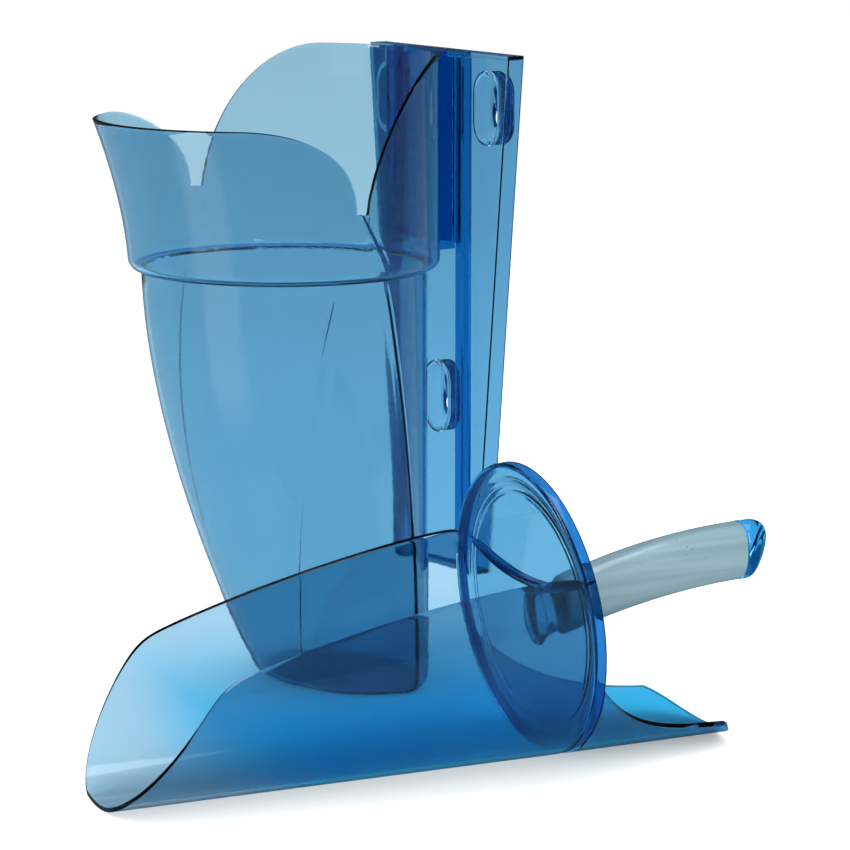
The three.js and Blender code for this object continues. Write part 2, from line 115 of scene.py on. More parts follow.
def capped(points):
    """Rows of points with each end row drawn in once more to its own middle, which closes the ends."""
    first, last = (row.mean(1, keepdims=True) + 0 * row for row in (points[:1], points[-1:]))
    return np.concatenate([first, points, last])


def skin(name, points, body, replaced=(), finishes=(), loop=False, flip=False):
    """A grid of points, rows by columns, joined into quads. loop joins the last column to the first.
    Equal corners are merged, which closes seams and poles."""
    rows, cols = points.shape[:2]
    index = np.arange(rows * cols).reshape(rows, cols)
    right = np.roll(index, -1, axis=1) if loop else index[:, 1:]
    left = index if loop else index[:, :-1]
    quads = np.stack([left[:-1], right[:-1], right[1:], left[1:]], -1).reshape(-1, 4)
    if flip:
        quads = quads[:, ::-1]
    mesh = bpy.data.meshes.new(name)
    mesh.from_pydata(points.reshape(-1, 3).tolist(), [], quads.tolist())
    work = bmesh.new()
    work.from_mesh(mesh)
    bmesh.ops.remove_doubles(work, verts=work.verts, dist=2e-6)
    bmesh.ops.dissolve_degenerate(work, edges=work.edges, dist=1e-6)
    work.to_mesh(mesh)
    work.free()
    return piece(name, mesh, body, replaced, finishes)


def piece(name, mesh, body, replaced=(), finishes=()):
    """Shows a mesh, smooth shaded, riding on its body in place of the CAD nodes it stands for."""
    mesh.shade_smooth()
    thing = bpy.data.objects.new(name, mesh)
    bpy.context.collection.objects.link(thing)
    for finish in finishes:
        mesh.materials.append(finish)
    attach(thing, body)
    if replaced:
        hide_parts(*replaced)
    return thing


def finish_by(thing, chosen, slot=1):
    """Gives the faces whose middles are chosen the finish in another material slot."""
    mesh = thing.data
    middle = np.empty(len(mesh.polygons) * 3)
    mesh.polygons.foreach_get("center", middle)
    marks = np.where(chosen(middle.reshape(-1, 3)), slot, 0).astype(np.int32)
    mesh.polygons.foreach_set("material_index", marks)


def face_out(thing):
    """Turns the faces of a closed mesh outward."""
    work = bmesh.new()
    work.from_mesh(thing.data)
    bmesh.ops.recalc_face_normals(work, faces=work.faces)
    work.to_mesh(thing.data)
    work.free()
    return thing


def thicken(thing, wall, offset=-1.0, soften=0.7):
    """Gives a sheet its wall, with a rim in the second finish, and rounds the rim's edges."""
    solid = thing.modifiers.new("wall", "SOLIDIFY")
    solid.thickness = wall * MM
    solid.offset = offset
    solid.use_quality_normals = True
    solid.material_offset_rim = 1
    round_edges(thing, soften)
    return thing


def round_edges(thing, width, angle=50.0, segments=3):
    """Rounds every edge that folds by more than an angle in degrees."""
    bevel = thing.modifiers.new("rounded_edges", "BEVEL")
    bevel.width = width * MM
    bevel.segments = segments
    bevel.limit_method = "ANGLE"
    bevel.angle_limit = math.radians(angle)
    bevel.harden_normals = False
    return thing


def moulded_copy(name, node, body, width, finishes):
    """A copy of a CAD node whose corners are merged, its flat triangles joined and its edges rounded."""
    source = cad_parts[node]
    mesh = source.data.copy()
    mesh.materials.clear()
    work = bmesh.new()
    work.from_mesh(mesh)
    bmesh.ops.remove_doubles(work, verts=work.verts, dist=1e-6)
    bmesh.ops.dissolve_limit(work, angle_limit=math.radians(1.0), verts=work.verts, edges=work.edges)
    bmesh.ops.recalc_face_normals(work, faces=work.faces)
    work.to_mesh(mesh)
    work.free()
    copy = piece(name, mesh, body, (node,), finishes)
    round_edges(copy, width, angle=30.0)
    normals = copy.modifiers.new("even_shading", "WEIGHTED_NORMAL")
    normals.keep_sharp = False
    return copy


# ---------- materials ----------

def new_material(name):
    material = bpy.data.materials.new(name)
    material.use_nodes = True
    nodes = material.node_tree.nodes
    nodes.clear()
    return material, nodes, material.node_tree.links


def add(nodes, kind, **values):
    """A node with values put on its sockets, by socket name, or on its own settings in lower case."""
    node = nodes.new(kind)
    for key, value in values.items():
        if key in node.inputs:
            node.inputs[key].default_value = value
        else:
            setattr(node, key, value)
    return node


def span(nodes, links, source, start, end, **settings):
    """A socket that goes from 0 to 1 as the source goes from start to end."""
    ramp = add(nodes, "ShaderNodeMapRange", **settings)
    ramp.inputs["From Min"].default_value = start
    ramp.inputs["From Max"].default_value = end
    links.new(source, ramp.inputs["Value"])
    return ramp.outputs["Result"]


def smooth_span(nodes, links, source, start, end):
    return span(nodes, links, source, start, end, interpolation_type="SMOOTHSTEP")


def math_node(nodes, links, operation, first, second=None):
    """A socket with the result of a sum on one or two sockets, or on a socket and a number."""
    node = add(nodes, "ShaderNodeMath", operation=operation)
    links.new(first, node.inputs[0])
    if isinstance(second, float):
        node.inputs[1].default_value = second
    elif second is not None:
        links.new(second, node.inputs[1])
    return node.outputs[0]


def blend(nodes, links, factor, first, second):
    """A socket that mixes two colours, each a socket or a red, green and blue."""
    mix = add(nodes, "ShaderNodeMix", data_type="RGBA")
    links.new(factor, mix.inputs[0])
    for slot, colour in ((6, first), (7, second)):
        if isinstance(colour, tuple):
            mix.inputs[slot].default_value = (*colour, 1)
        else:
            links.new(colour, mix.inputs[slot])
    return mix.outputs[2]


def noise(nodes, links, place, scale, detail, **settings):
    """A socket with a noise of the given scale at the place."""
    texture = add(nodes, "ShaderNodeTexNoise", Scale=scale, Detail=detail, **settings)
    links.new(place, texture.inputs["Vector"])
    return texture.outputs["Fac"]


def finished(nodes, links, shader):
    """Puts a shader on the surface."""
    out = add(nodes, "ShaderNodeOutputMaterial")
    links.new(shader.outputs[0], out.inputs["Surface"])


def roughened(nodes, links, height, strength, shader):
    """Gives a shader a fine bump."""
    bump = add(nodes, "ShaderNodeBump", Strength=strength, Distance=0.0002)
    links.new(height, bump.inputs["Height"])
    links.new(bump.outputs["Normal"], shader.inputs["Normal"])


def mirrored(nodes, links):
    """A socket that is 1 where a surface is seen as a mirror image in the plastic, else 0."""
    ray = add(nodes, "ShaderNodeLightPath").outputs
    return math_node(nodes, links, "MULTIPLY", ray["Is Glossy Ray"], ray["Is Reflection Ray"])


def clear_plastic(name, tint, deep, low=None, low_to=0.09):
    """Tinted polycarbonate: glass with a fine orange peel, darker where the wall is seen edge on,
    faint flow clouds in its colour, and shadows that light passes through. low is a deeper tint
    painted on the lower part as painted shade, up to the height low_to, apart from the thin mouth of the
    blade."""
    material, nodes, links = new_material(name)
    place = add(nodes, "ShaderNodeTexCoord").outputs["Object"]
    thinner = tuple(min(1.0, c * 1.05 + 0.012) for c in tint)
    clouds = noise(nodes, links, place, 9.0, 3.0, Roughness=0.6)
    body = blend(nodes, links, clouds, tint, thinner)
    # painted shade: below the height low_to the colour is blended to the deeper low tint
    if low:
        at = add(nodes, "ShaderNodeSeparateXYZ")
        links.new(place, at.inputs[0])
        upper = smooth_span(nodes, links, at.outputs["Z"], 0.01, low_to)
        mouth = smooth_span(nodes, links, at.outputs["Y"], *BLADE_MOUTH)
        lighter = math_node(nodes, links, "MAXIMUM", upper, mouth)
        body = blend(nodes, links, lighter, low, body)
    edge = add(nodes, "ShaderNodeLayerWeight", Blend=0.5)
    steep = smooth_span(nodes, links, edge.outputs["Facing"], 0.72, 1.0)
    glass = add(nodes, "ShaderNodeBsdfPrincipled", Roughness=0.02, IOR=1.35)
    glass.inputs["Transmission Weight"].default_value = 1.0
    glass.inputs["Specular IOR Level"].default_value = 0.22
    links.new(blend(nodes, links, steep, body, deep), glass.inputs["Base Color"])
    roughened(nodes, links, noise(nodes, links, place, 700.0, 2.0), 0.06, glass)
    light_through = add(nodes, "ShaderNodeBsdfTransparent", Color=SHADOW_TINT)
    path = add(nodes, "ShaderNodeLightPath")
    choose = add(nodes, "ShaderNodeMixShader")
    links.new(path.outputs["Is Shadow Ray"], choose.inputs[0])
    links.new(glass.outputs[0], choose.inputs[1])
    links.new(light_through.outputs[0], choose.inputs[2])
    finished(nodes, links, choose)
    return material


def grip_elastomer(name):
    """Pale silvery soft plastic: lengthwise flow streaks, a fine pearl sparkle and a few specks."""
    material, nodes, links = new_material(name)
    place = add(nodes, "ShaderNodeTexCoord").outputs["Object"]
    along = add(nodes, "ShaderNodeMapping", vector_type="TEXTURE")
    along.inputs["Rotation"].default_value = (0.0, 0.0, SCOOP_TURN)
    along.inputs["Scale"].default_value = (0.25, 0.008, 0.008)
    links.new(place, along.inputs["Vector"])
    streaks = noise(nodes, links, along.outputs["Vector"], 1.0, 3.0, Roughness=0.5)
    tone = add(nodes, "ShaderNodeValToRGB")
    darker, paler = tone.color_ramp.elements
    darker.position, darker.color = 0.30, (0.125, 0.225, 0.27, 1)
    paler.position, paler.color = 0.72, (0.24, 0.36, 0.41, 1)
    links.new(streaks, tone.inputs["Fac"])
    specks = add(nodes, "ShaderNodeTexVoronoi", Scale=260.0)
    links.new(place, specks.inputs["Vector"])
    dot = span(nodes, links, specks.outputs["Distance"], 0.13, 0.08)
    few = span(nodes, links, noise(nodes, links, place, 45.0, 1.0), 0.55, 0.60)
    amount = math_node(nodes, links, "MULTIPLY", dot, few)
    colour = blend(nodes, links, amount, tone.outputs["Color"], (0.05, 0.12, 0.17))
    rubber = add(nodes, "ShaderNodeBsdfPrincipled", Roughness=0.38, IOR=1.5, Metallic=0.0)
    rubber.inputs["Coat Weight"].default_value = 0.7
    rubber.inputs["Coat Roughness"].default_value = 0.16
    links.new(colour, rubber.inputs["Base Color"])
    roughened(nodes, links, noise(nodes, links, place, 1400.0, 2.0), 0.08, rubber)
    finished(nodes, links, rubber)
    return material


def floor_paper(name):
    """Matt white studio paper with a very faint tooth. Its mirror image in the plastic is toned down,
    apart from one bright sweep in front of the left side, a painted reflection that puts a painted highlight
    on the plastic."""
    material, nodes, links = new_material(name)
    place = add(nodes, "ShaderNodeTexCoord").outputs["Object"]
    tooth = noise(nodes, links, place, 300.0, 3.0)
    tone = blend(nodes, links, tooth, (0.93, 0.93, 0.93), (0.95, 0.95, 0.95))
    # painted reflection: a bright sweep on the floor that only the plastic's mirror images show, as a
    # painted highlight
    at = add(nodes, "ShaderNodeSeparateXYZ")
    links.new(place, at.inputs[0])
    bearing = math_node(nodes, links, "ARCTAN2", at.outputs["Y"], at.outputs["X"])
    off = math_node(nodes, links, "SUBTRACT", bearing, SWEEP_BEARING)
    aside = math_node(nodes, links, "ABSOLUTE", off)
    sweep = smooth_span(nodes, links, aside, math.radians(19.0), math.radians(11.0))
    away = smooth_span(nodes, links, at.outputs["Y"], -0.35, -0.55)
    painted_highlight_sweep = math_node(nodes, links, "MULTIPLY", sweep, away)
    image = blend(nodes, links, painted_highlight_sweep, (0.08, 0.14, 0.20), (0.95, 0.97, 1.0))
    seen = blend(nodes, links, mirrored(nodes, links), tone, image)
    paper = add(nodes, "ShaderNodeBsdfPrincipled", Roughness=0.9)
    paper.inputs["Specular IOR Level"].default_value = 0.1
    links.new(seen, paper.inputs["Base Color"])
    finished(nodes, links, paper)
    return material


SHADOW_TINT = (0.92, 0.955, 0.975, 1)
BLADE_MOUTH = (-0.16, -0.245)  # metres along y: where the painted shade on the blade's lower part starts to fade, and ends
SWEEP_BEARING = math.radians(-84.0)
CLEAR_BLUE = clear_plastic("clear_blue", (0.26, 0.48, 0.62), (0.01, 0.08, 0.38))
CLEAR_RIM = clear_plastic("clear_blue_rim", (0.05, 0.20, 0.48), (0.04, 0.10, 0.38))
# the blade and the guard get painted shade: a deeper blue painted on their lower parts
BLADE_BLUE = clear_plastic("blade_blue", (0.26, 0.45, 0.59), (0.01, 0.10, 0.42), low=(0.01, 0.38, 0.70))
GUARD_BLUE = clear_plastic("guard_blue", (0.20, 0.42, 0.58), (0.01, 0.10, 0.42), low=(0.03, 0.34, 0.62),
                           low_to=0.045)
SHIELD_BLUE = clear_plastic("shield_blue", (0.08, 0.29, 0.48), (0.01, 0.08, 0.38))
# a deeper blue for the lips, the rib and the shoulder's turn, and painted shade on the pockets' walls
DEEPER_AND_SHADE_BLUE = clear_plastic("deeper_and_shade_blue", (0.01, 0.14, 0.42), (0.0, 0.04, 0.30))
BRACKET_BLUE = clear_plastic("bracket_blue", (0.08, 0.28, 0.48), (0.01, 0.06, 0.34))
HANGER_BLUE = clear_plastic("hanger_blue", (0.02, 0.29, 0.62), (0.0, 0.07, 0.38))
CORE_BLUE = clear_plastic("core_blue", (0.02, 0.24, 0.54), (0.01, 0.14, 0.44))
NECK_BLUE = clear_plastic("neck_blue", (0.36, 0.62, 0.78), (0.12, 0.34, 0.60))
GRIP = grip_elastomer("grip_elastomer")


# ---------- holder cup ----------

def crease(off):
    """A fine rounded ridge across an angle, 1 at its top."""
    return np.exp(-(off / CREASE_WIDTH) ** 2)


def from_front(turn):
    """Degrees between a turn and the middle of the cup's front."""
    return np.abs((turn + 90 + 180) % 360 - 180)


def body_outline(turn, z, inset):
    """The cup's section at height z, for a turn in degrees measured at the body's top: a round back,
    two bulged side panels and a round front that leans to the wall side further down."""
    right = np.where(np.cos(np.radians(turn)) >= 0, 1.0, -1.0)
    fold = np.degrees(np.arcsin(np.sin(np.radians(turn))))
    rise = np.clip(z / BODY_TOP, 0, 1)
    lean = 83.6 * (1 - rise) ** 1.69
    back_edge = 33.5 - 23.0 * rise ** 1.8
    front_half = 14.0 + 65.0 * rise ** 0.85
    radius = BODY_RADIUS - inset
    back_angle = np.radians(90 - (90 - fold) / (90 - BACK_EDGE_TOP) * (90 - back_edge))
    back = np.stack([radius * np.cos(back_angle), radius * np.sin(back_angle)], -1)
    front_angle = np.radians((fold + 90) / FRONT_HALF_TOP * front_half)
    front = np.stack([radius * np.sin(front_angle), lean - radius * np.cos(front_angle)], -1)
    edge = np.radians(back_edge)
    rear_corner = np.stack([radius * np.cos(edge), radius * np.sin(edge)], -1)
    half = np.radians(front_half)
    front_corner = np.stack([radius * np.sin(half), lean - radius * np.cos(half)], -1)
    chord = rear_corner - front_corner
    length = np.linalg.norm(chord, axis=-1, keepdims=True)
    outward = np.stack([chord[..., 1], -chord[..., 0]], -1) / length
    share = ((fold + 90 - FRONT_HALF_TOP) / (BACK_EDGE_TOP + 90 - FRONT_HALF_TOP))[..., None]
    bulge = length * (0.16 - 0.115 * rise[..., None])
    side = front_corner + chord * share + outward * 4 * bulge * share * (1 - share)
    flat = np.where((fold >= BACK_EDGE_TOP)[..., None], back, side)
    flat = np.where((fold <= FRONT_HALF_TOP - 90)[..., None], front, flat)
    ridge = crease(fold - BACK_EDGE_TOP) + crease(fold - FRONT_HALF_TOP + 90)
    ridge = 0.8 * ridge * np.clip((BODY_TOP - z) / 12, 0, 1) * np.clip(z / 25, 0, 1)
    flat = flat * (1 + ridge / np.linalg.norm(flat, axis=-1))[..., None]
    return np.stack([right * flat[..., 0], flat[..., 1], z], -1)


def rim_height(turn):
    """Height of the collar's rim: two petals that rise from the notches to a level top."""
    on_back = np.sin(np.radians(turn)) > math.sin(math.radians(NOTCH_ANGLE))
    high, rise, full = (np.where(on_back, b, f) for b, f in zip(BACK_PETAL, FRONT_PETAL))
    away = np.clip(np.abs(from_front(turn) - 90 - NOTCH_ANGLE) - NOTCH_HALF_WIDTH, 0, None)
    share = np.clip(away / rise, 0, 1)
    return NOTCH_HEIGHT + (high - NOTCH_HEIGHT) * (1 - (1 - share) ** 2) ** full


def collar_point(turn, radius, z):
    """A point of the collar, leaning outward on the front side by a power of its height. A slanted
    crease runs from each notch down to the body's own crease."""
    facing = np.clip(-np.sin(np.radians(turn)), 0, None) ** 0.8
    lift = np.clip((z - BODY_TOP) / (FRONT_PETAL[0] - BODY_TOP), 0, None)
    reach = radius + FLARE * facing * lift ** 1.63
    climb = np.clip((z - BODY_TOP) / (NOTCH_HEIGHT - BODY_TOP), 0, 1)
    crease_at = 90 + BACK_EDGE_TOP + (NOTCH_ANGLE - BACK_EDGE_TOP) * climb
    fade = np.clip((z - BODY_TOP) / 12, 0, 1) * np.clip((NOTCH_HEIGHT - z) / 6 + 1, 0, 1)
    reach = reach + 0.6 * crease(from_front(turn) - crease_at) * fade
    return np.stack([reach * np.cos(np.radians(turn)), reach * np.sin(np.radians(turn)), z], -1)


def cup_turns(quarter):
    """Turns in degrees from one notch round to itself, crowded towards both notches."""
    near = np.linspace(0, 1, quarter, endpoint=False) ** 1.4
    far = 1 - (1 - np.linspace(0, 1, quarter, endpoint=False)) ** 1.4
    back, front = 90 - NOTCH_ANGLE, 90 + NOTCH_ANGLE
    parts = [NOTCH_ANGLE + back * near, 90 + back * far]
    parts += [180 - NOTCH_ANGLE + front * near, 270 + front * far]
    return np.concatenate(parts)


def cup_shell():
    """One sheet from the middle of the foot, round the foot's edge, up the body, round the shoulder
    and up the collar to the rim. The turn of the shoulder has the deeper finish."""
    turn = cup_turns(100)
    level = np.ones_like(turn)
    ring = body_outline(turn, 0 * level, FOOT_ROUND)
    middle = np.array([0.0, FOOT_MIDDLE, 0.0])
    rows = [middle + (ring - middle) * s for s in (0.0, 0.35, 0.7, 1.0)]
    for bend in np.radians(np.linspace(15, 90, 6)):
        inset = FOOT_ROUND * (1 - math.sin(bend))
        rows.append(body_outline(turn, FOOT_ROUND * (1 - math.cos(bend)) * level, inset))
    rows += [body_outline(turn, z * level, 0.0) for z in np.linspace(FOOT_ROUND, BODY_TOP, 44)[1:]]
    for bend in np.radians(np.linspace(0, 90, 9)):
        radius = COLLAR_RADIUS - COLLAR_ROUND * (1 - math.sin(bend))
        rows.append(collar_point(turn, radius, (BODY_TOP + COLLAR_ROUND * (1 - math.cos(bend))) * level))
    start = BODY_TOP + COLLAR_ROUND
    for share in np.linspace(0, 1, 36)[1:]:
        rows.append(collar_point(turn, COLLAR_RADIUS, start + (rim_height(turn) - start) * share))
    sheet = skin("cup_shell", holder_place(np.stack(rows)), "cup", ("cup_body", "cup_collar"),
                 (CLEAR_BLUE, CLEAR_RIM, DEEPER_AND_SHADE_BLUE), loop=True)
    finish_by(sheet, lambda middle: np.abs(middle[:, 2] / MM - BODY_TOP - 1.2) < 1.1, slot=2)
    return thicken(sheet, WALL)


# ---------- wall bracket ----------

def stadium_reach(angle, half, reach):
    """Distance from the middle to the edge of a stadium, in the direction of angle."""
    side = half / np.maximum(np.abs(np.cos(angle)), 1e-9)
    end = reach * np.abs(np.sin(angle)) + np.sqrt(half ** 2 - (reach * np.cos(angle)) ** 2)
    return np.where(side * np.abs(np.sin(angle)) <= reach, side, end)


def keyhole_reach(angle):
    """Distance from the middle of the keyhole's round head to its edge: the head or the slot above it."""
    half, top = KEYHOLE_SLOT, KEYHOLE_TOP
    up = np.sin(angle) > 0
    side = half / np.maximum(np.abs(np.cos(angle)), 1e-9)
    end = top * np.abs(np.sin(angle)) + np.sqrt(np.clip(half ** 2 - (top * np.cos(angle)) ** 2, 0, None))
    slot = np.where(side * np.abs(np.sin(angle)) <= top, side, end)
    return np.where(up, np.maximum(KEYHOLE_HEAD, slot), KEYHOLE_HEAD)


def keyhole_pocket(label):
    """A deep stadium cup through the plate: round lip, wall, filleted floor, keyhole, back and outside."""
    x, z = POCKETS[label]
    angle = np.linspace(0, 2 * math.pi, 144, endpoint=False)
    floor_front, floor_back = POCKET_BACK - POCKET_FLOOR, POCKET_BACK

    def ring(out, y, up):
        return np.stack([x + out * np.cos(angle), np.full_like(angle, y), up + out * np.sin(angle)], -1)

    def stadium(inset, y):
        return ring(stadium_reach(angle, POCKET_HALF - inset, POCKET_REACH), y, z)

    def keyhole(grow, y):
        return ring(keyhole_reach(angle) + grow, y, z - KEYHOLE_DROP)

    bends = np.radians(np.linspace(0, 90, 5))
    rows = [stadium(0.9 - 0.9 * math.cos(b), PLATE_FRONT + 0.9 - 0.9 * math.sin(b)) for b in bends]
    rows += [stadium(WALL - 0.9 + 0.9 * math.sin(b), PLATE_FRONT + 0.9 - 0.9 * math.cos(b)) for b in bends]
    rows += [stadium(WALL + 2 - 2 * math.cos(b), floor_front - 2 + 2 * math.sin(b)) for b in bends]
    rows += [stadium(WALL + 2.4, floor_front), keyhole(1.2, floor_front), keyhole(0.5, floor_front)]
    rows += [keyhole(0.5 - 0.5 * math.sin(b), floor_front + 0.5 - 0.5 * math.cos(b)) for b in bends]
    rows += [keyhole(0.0, floor_back - 0.3), keyhole(0.3, floor_back)]
    rows += [stadium(2.0, floor_back), stadium(1.5, floor_back)]
    rows += [stadium(1.5 - 1.5 * math.sin(b), floor_back - 1.5 + 1.5 * math.cos(b)) for b in bends]
    rows.append(rows[0])
    pocket = skin(f"pocket_{label}", holder_place(np.stack(rows)), "bracket", (f"keyhole_pocket_{label}",),
                  (BRACKET_BLUE, DEEPER_AND_SHADE_BLUE), loop=True)
    middle = holder_place(np.array([x, 0.0, z]))

    def shaded_walls(at):
        """Painted shade: the pocket's wall on the side away from the light, and the wall of the keyhole,
        both painted in the darker second material.
        """
        depth = (at[:, 1] - middle[1]) / MM
        off = np.hypot(at[:, 0] - middle[0], at[:, 2] - middle[2] + 0.002) / MM
        hole = (depth > floor_front + 0.02) & (depth < floor_back - 0.02) & (off < 10.5)
        side = (depth > PLATE_FRONT + 0.8) & (depth < floor_front - 1.5) & (at[:, 0] > middle[0])
        return hole | side

    # painted shade on the pocket's side wall and keyhole wall, in the darker blue
    finish_by(pocket, shaded_walls)
    return face_out(pocket)


# ---------- scoop ----------

TAPER = math.tan(SCOOP_TAPER)


def trough_edge(t):
    """Height of the blade's edge: the long bowed top and the slanted front, rounded into each other."""
    back = np.clip((TROUGH_BACK - t) / 216.0, 0, None)
    top = TROUGH_HEIGHT - 39.0 * back ** 1.9
    front = 1.55 * (t - TROUGH_TIP)
    return -5.0 * np.log(np.exp(-top / 5.0) + np.exp(-front / 5.0))


def blade():
    """The trough: arcs of a cone that lies on the floor, each cut off at the height of the edge."""
    u = np.linspace(0, 1, 110)[:, None]
    v = np.linspace(0, 1, 100)[None, :]
    t0 = TROUGH_TIP + 2.2 + (TROUGH_BACK - TROUGH_TIP - 2.2) * u ** 1.7
    radius0 = SCOOP_RADIUS + TAPER * t0
    edge = np.clip(trough_edge(t0), 1.2, TROUGH_HEIGHT)
    reach = np.arccos(1 - edge / radius0)
    swing = -reach + 2 * reach * v
    height = radius0 * (1 - np.cos(swing))
    back_plane = (SHIELD_FRONT - GAP) / math.cos(SCOOP_TAPER) - height * TAPER
    t = t0 + (back_plane - t0) * u ** 6
    radius = SCOOP_RADIUS + TAPER * t
    points = np.stack([t, radius * np.sin(swing), radius * (1 - np.cos(swing))], -1)
    sheet = skin("blade", scoop_place(points), "scoop", ("scoop_trough",), (BLADE_BLUE, CLEAR_RIM))
    return thicken(sheet, WALL)


def leaning(x, across, up):
    """Points of an upright thing leaned back with the cone's axis."""
    cos, sin = math.cos(SCOOP_TAPER), math.sin(SCOOP_TAPER)
    return np.stack([x * cos - up * sin, across + 0 * x, x * sin + up * cos], -1)


def shield_points(turn, radius, x):
    """Points of a disc that leans with the cone's axis and stands on the floor."""
    disc = leaning(x, radius * np.cos(turn), SCOOP_RADIUS + radius * np.sin(turn))
    return disc + np.array([0.0, 0.0, GAP])


def disc_radius(middle):
    """Distance of each point, in the row's metres, from the shield's leaning axis, in millimetres."""
    centre = scoop_place(shield_points(np.zeros(1), np.zeros(1), np.zeros(1)))[0]
    cos, sin = math.cos(SCOOP_TAPER), math.sin(SCOOP_TAPER)
    axis = np.array([cos * math.cos(SCOOP_TURN), cos * math.sin(SCOOP_TURN), sin])
    off = (middle - centre) / MM
    return np.linalg.norm(off - (off @ axis)[:, None] * axis, axis=1)


def shield():
    """A dished disc: a shallow bowl, two fine rings, a step forward and a lip turned back at the rim."""
    turn = np.linspace(0, 2 * math.pi, 200, endpoint=False)[None, :]
    r = np.concatenate([np.linspace(0, 66, 16), np.linspace(68, SHIELD_LIP, 46)])
    step = 1 / (1 + np.exp(-(r - 79.0) / 1.1))
    rings = 0.5 * np.exp(-((r - 70.5) / 0.9) ** 2) + 0.4 * np.exp(-((r - 74.5) / 0.9) ** 2)
    x = 3.3 - 3.6 * step + rings
    lip = np.radians(np.linspace(0, 90, 6))
    bend = 1.35
    r = np.concatenate([r, SHIELD_LIP + bend * np.sin(lip[1:]), [SHIELD_LIP + bend] * 2])
    x = np.concatenate([x, x[-1] + bend * (1 - np.cos(lip[1:])), [3.0, SHIELD_BACK]])
    points = shield_points(turn, r[:, None], x[:, None] + 0 * turn)
    sheet = skin("hand_shield", scoop_place(points), "scoop", ("scoop_shield",), (SHIELD_BLUE, DEEPER_AND_SHADE_BLUE),
                 loop=True)
    finish_by(sheet, lambda middle: disc_radius(middle) > SHIELD_LIP - 0.4)
    return thicken(sheet, WALL, offset=0.0)


def guard_edge(t):
    """Height of the guard's edge behind the shield: a falling sweep, then the round end's own height."""
    sweep = 13.5 + 41.5 * np.exp(-t / 32.0)
    share = np.clip((t - GUARD_ROUND_START) / (GUARD_END - GUARD_ROUND_START), 0, 1)
    width = np.maximum(6.0, 52.0 * np.sqrt(1 - share ** 2))
    end = SCOOP_RADIUS - np.sqrt(SCOOP_RADIUS ** 2 - width ** 2)
    return np.where(t <= GUARD_ROUND_START, sweep, np.minimum(sweep, end))


def guard():
    """The tongue below the hand: arcs of a cylinder that lies on the floor, cut off at the edge's height."""
    u = np.linspace(1, 0, 90)[:, None]
    v = np.linspace(0, 1, 60)[None, :]
    t0 = GUARD_END - GUARD_END * (1 - u) ** 1.5
    reach = np.arccos(1 - guard_edge(t0) / SCOOP_RADIUS)
    swing = -reach + 2 * reach * v
    height = SCOOP_RADIUS * (1 - np.cos(swing))
    start = (SHIELD_BACK + GAP) / math.cos(SCOOP_TAPER) - height * TAPER
    t = start + (GUARD_END - start) * t0 / GUARD_END
    points = np.stack([t, SCOOP_RADIUS * np.sin(swing), height], -1)
    sheet = skin("hand_guard", scoop_place(points), "scoop", ("scoop_guard",), (GUARD_BLUE, CLEAR_RIM),
                 flip=True)
    return thicken(sheet, GUARD_WALL)


def shield_rib():
    """A curved bar across the back of the shield, low in the middle, where the handle grows out of it."""
    y = np.linspace(-RIB_HALF, RIB_HALF, 60)[:, None]
    turn = np.linspace(0, 2 * math.pi, 24, endpoint=False)[None, :]
    full = 1 - np.abs(y / RIB_HALF) ** 6
    square = 0.55
    x = SHIELD_BACK - 0.4 + (0.5 + 3.6 * full) * squarer(np.cos(turn), square)
    up = 105 + 16 * (y / RIB_HALF) ** 2 + (0.4 + 1.9 * full) * squarer(np.sin(turn), square)
    points = capped(leaning(x, y, up))
    rib = skin("shield_rib", scoop_place(points), "scoop", (), (DEEPER_AND_SHADE_BLUE,), loop=True)
    return face_out(rib)


# ---------- handle ----------

def handle_height(t):
    """Height of the handle's middle line: it rises away from the shield and levels off at its end."""
    return 110.5 - 27.5 * (1 - t / 155.0) ** 2


def oval_rows(t, width, height, lean=0.0, turns=96, square=0.9):
    """Ovals across the handle, one for each t. lean tips the top of an oval away from the scoop."""
    t, width, height, lean = (np.broadcast_to(np.asarray(a, float), np.shape(t))[:, None]
                              for a in (t, width, height, lean))
    turn = np.linspace(0, 2 * math.pi, turns, endpoint=False)[None, :]
    up = height * squarer(np.sin(turn), square)
    return np.stack([t + lean * up, width * squarer(np.cos(turn), square), handle_height(t) + up], -1)


def handle_core():
    """The core that runs out from the shield inside the sleeve, and the slanted knob at its end. Its
    root, near the shield, has the paler finish."""
    flare = np.exp(-np.linspace(0, 1, 14) * 5)
    neck = oval_rows(np.linspace(-1.6, 14, 14), 10.5 + 3.5 * flare, 13.5 + 3.5 * flare, lean=-TAPER)
    knob_start = GRIP_END + GAP
    inside = oval_rows(np.linspace(GRIP_START + 3, knob_start, 30), 10.0, 13.0)
    bend = np.radians(np.linspace(0, 90, 12))
    round_off = 1 - np.cos(bend)
    knob = oval_rows(145 + 7.4 * np.sin(bend), 14.4 - 9.0 * round_off, 18.1 - 10.5 * round_off,
                     0.1 + 0.26 * np.sin(bend))
    face = oval_rows([knob_start, knob_start + 0.5], [14.0, 14.4], [17.7, 18.2])
    points = capped(np.concatenate([neck, inside, face, knob]))
    core = skin("handle_core_moulding", scoop_place(points), "scoop", ("handle_core",),
                (CORE_BLUE, NECK_BLUE), loop=True)
    root = scoop_place(np.array([0.0, 0.0, 0.0]))
    finish_by(core, lambda middle: np.hypot(middle[:, 0] - root[0], middle[:, 1] - root[1]) < 0.022)
    return face_out(core)


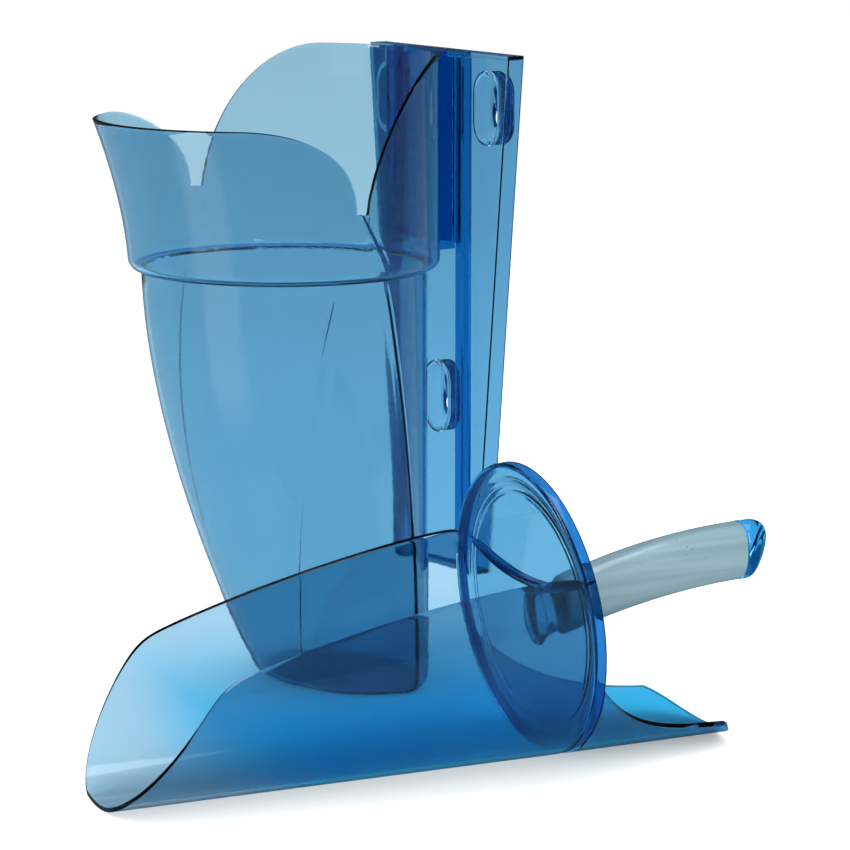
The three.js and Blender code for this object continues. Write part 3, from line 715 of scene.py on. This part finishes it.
def grip():
    """The soft sleeve: a rounded oval tube with soft end lips and a slight swell in the middle."""
    lip = np.radians(np.linspace(0, 90, 6))
    first, last = GRIP_START + 5, GRIP_END - 3
    near_lip, far_lip = GRIP_START + 2 - 2 * np.cos(lip), GRIP_END - 0.8 + 0.8 * np.sin(lip)
    outer_t = np.concatenate([near_lip, np.linspace(first, last, 48), far_lip])
    drop = np.concatenate([2 - 2 * np.sin(lip), np.zeros(48), 0.6 - 0.6 * np.cos(lip)])
    swell = 0.4 * np.sin(np.clip((outer_t - first) / (last - first), 0, 1) * math.pi)
    outer = oval_rows(outer_t, 14.3 - drop + swell, 18.0 - drop + 0.3 * swell)
    inner = oval_rows(np.linspace(GRIP_END, GRIP_START, 20), 10.4, 13.4)
    points = np.concatenate([outer, inner, outer[:1]])
    return face_out(skin("grip", scoop_place(points), "scoop", ("grip_sleeve",), (GRIP,), loop=True))


cup_shell()
moulded_copy("cup_hanger", "cup_slide", "cup", 0.6, (HANGER_BLUE,))
moulded_copy("wall_plate", "bracket_plate", "bracket", 0.7, (BRACKET_BLUE,))
moulded_copy("rail_left", "bracket_rail_left", "bracket", 0.5, (HANGER_BLUE,))
moulded_copy("rail_right", "bracket_rail_right", "bracket", 0.5, (HANGER_BLUE,))
for label in POCKETS:
    keyhole_pocket(label)
blade()
shield()
shield_rib()
guard()
handle_core()
grip()


# ---------- floor, light and camera ----------

def studio_floor():
    """A wide white floor, staged so that it is no part of the object."""
    size = 30.0
    below = -0.0004  # a hair under the foot, so that the two faces don't coincide
    corners = [(-size, -size, below), (size, -size, below), (size, size, below), (-size, size, below)]
    mesh = bpy.data.meshes.new("studio_floor")
    mesh.from_pydata(corners, [], [(0, 1, 2, 3)])
    floor = bpy.data.objects.new("studio_floor", mesh)
    mesh.materials.append(floor_paper("studio_paper"))
    bpy.context.collection.objects.link(floor)


def soft_box(name, place, aim, width, height, power):
    """A rectangular lamp at a place, turned to face the aim."""
    light = bpy.data.lights.new(name, "AREA")
    light.shape = "RECTANGLE"
    light.size = width
    light.size_y = height
    light.energy = power
    lamp = bpy.data.objects.new(name, light)
    lamp.location = place
    direction = np.array(aim) - np.array(place)
    flat = math.hypot(direction[0], direction[1])
    lamp.rotation_euler = (math.atan2(flat, -direction[2]), 0, math.atan2(-direction[0], direction[1]))
    bpy.context.collection.objects.link(lamp)


def studio():
    """Even white surroundings, dim in mirror images, with three soft boxes that give the highlights."""
    world = bpy.data.worlds.new("studio")
    world.use_nodes = True
    nodes, links = world.node_tree.nodes, world.node_tree.links
    white = nodes["Background"]
    white.inputs["Color"].default_value = (1, 1, 1, 1)
    dim = add(nodes, "ShaderNodeMapRange")
    dim.inputs["To Min"].default_value = 1.1
    dim.inputs["To Max"].default_value = 0.05
    links.new(mirrored(nodes, links), dim.inputs["Value"])
    links.new(dim.outputs["Result"], white.inputs["Strength"])
    scene = bpy.context.scene
    scene.world = world
    soft_box("left_box", (-0.6, -2.0, 1.3), (0.05, -0.04, 0.2), 0.5, 1.8, 24)
    soft_box("right_box", (2.3, -0.45, 1.5), (0.05, -0.04, 0.2), 0.3, 1.8, 14)
    soft_box("top_box", (0.2, -0.1, 2.2), (0.1, -0.04, 0.1), 1.4, 1.4, 24)
    scene.view_settings.view_transform = "Standard"
    scene.cycles.max_bounces = 28
    scene.cycles.transmission_bounces = 28
    scene.cycles.transparent_max_bounces = 32
    scene.cycles.glossy_bounces = 6
    scene.cycles.diffuse_bounces = 3
    scene.cycles.caustics_reflective = False
    scene.cycles.caustics_refractive = False


def camera():
    """A long lens a little above the object, seen from its front right."""
    lens = bpy.data.cameras.new("camera")
    lens.sensor_width = 36.0
    lens.lens = 151.3
    lens.clip_end = 50.0
    view = bpy.data.objects.new("camera", lens)
    view.location = (1.8997, -1.2074 - FOOT_MIDDLE * MM, 0.5775)
    view.rotation_euler = (math.radians(90 - 10.268), 0, math.radians(55.292))
    bpy.context.collection.objects.link(view)
    bpy.context.scene.camera = view


studio_floor()
studio()
camera()
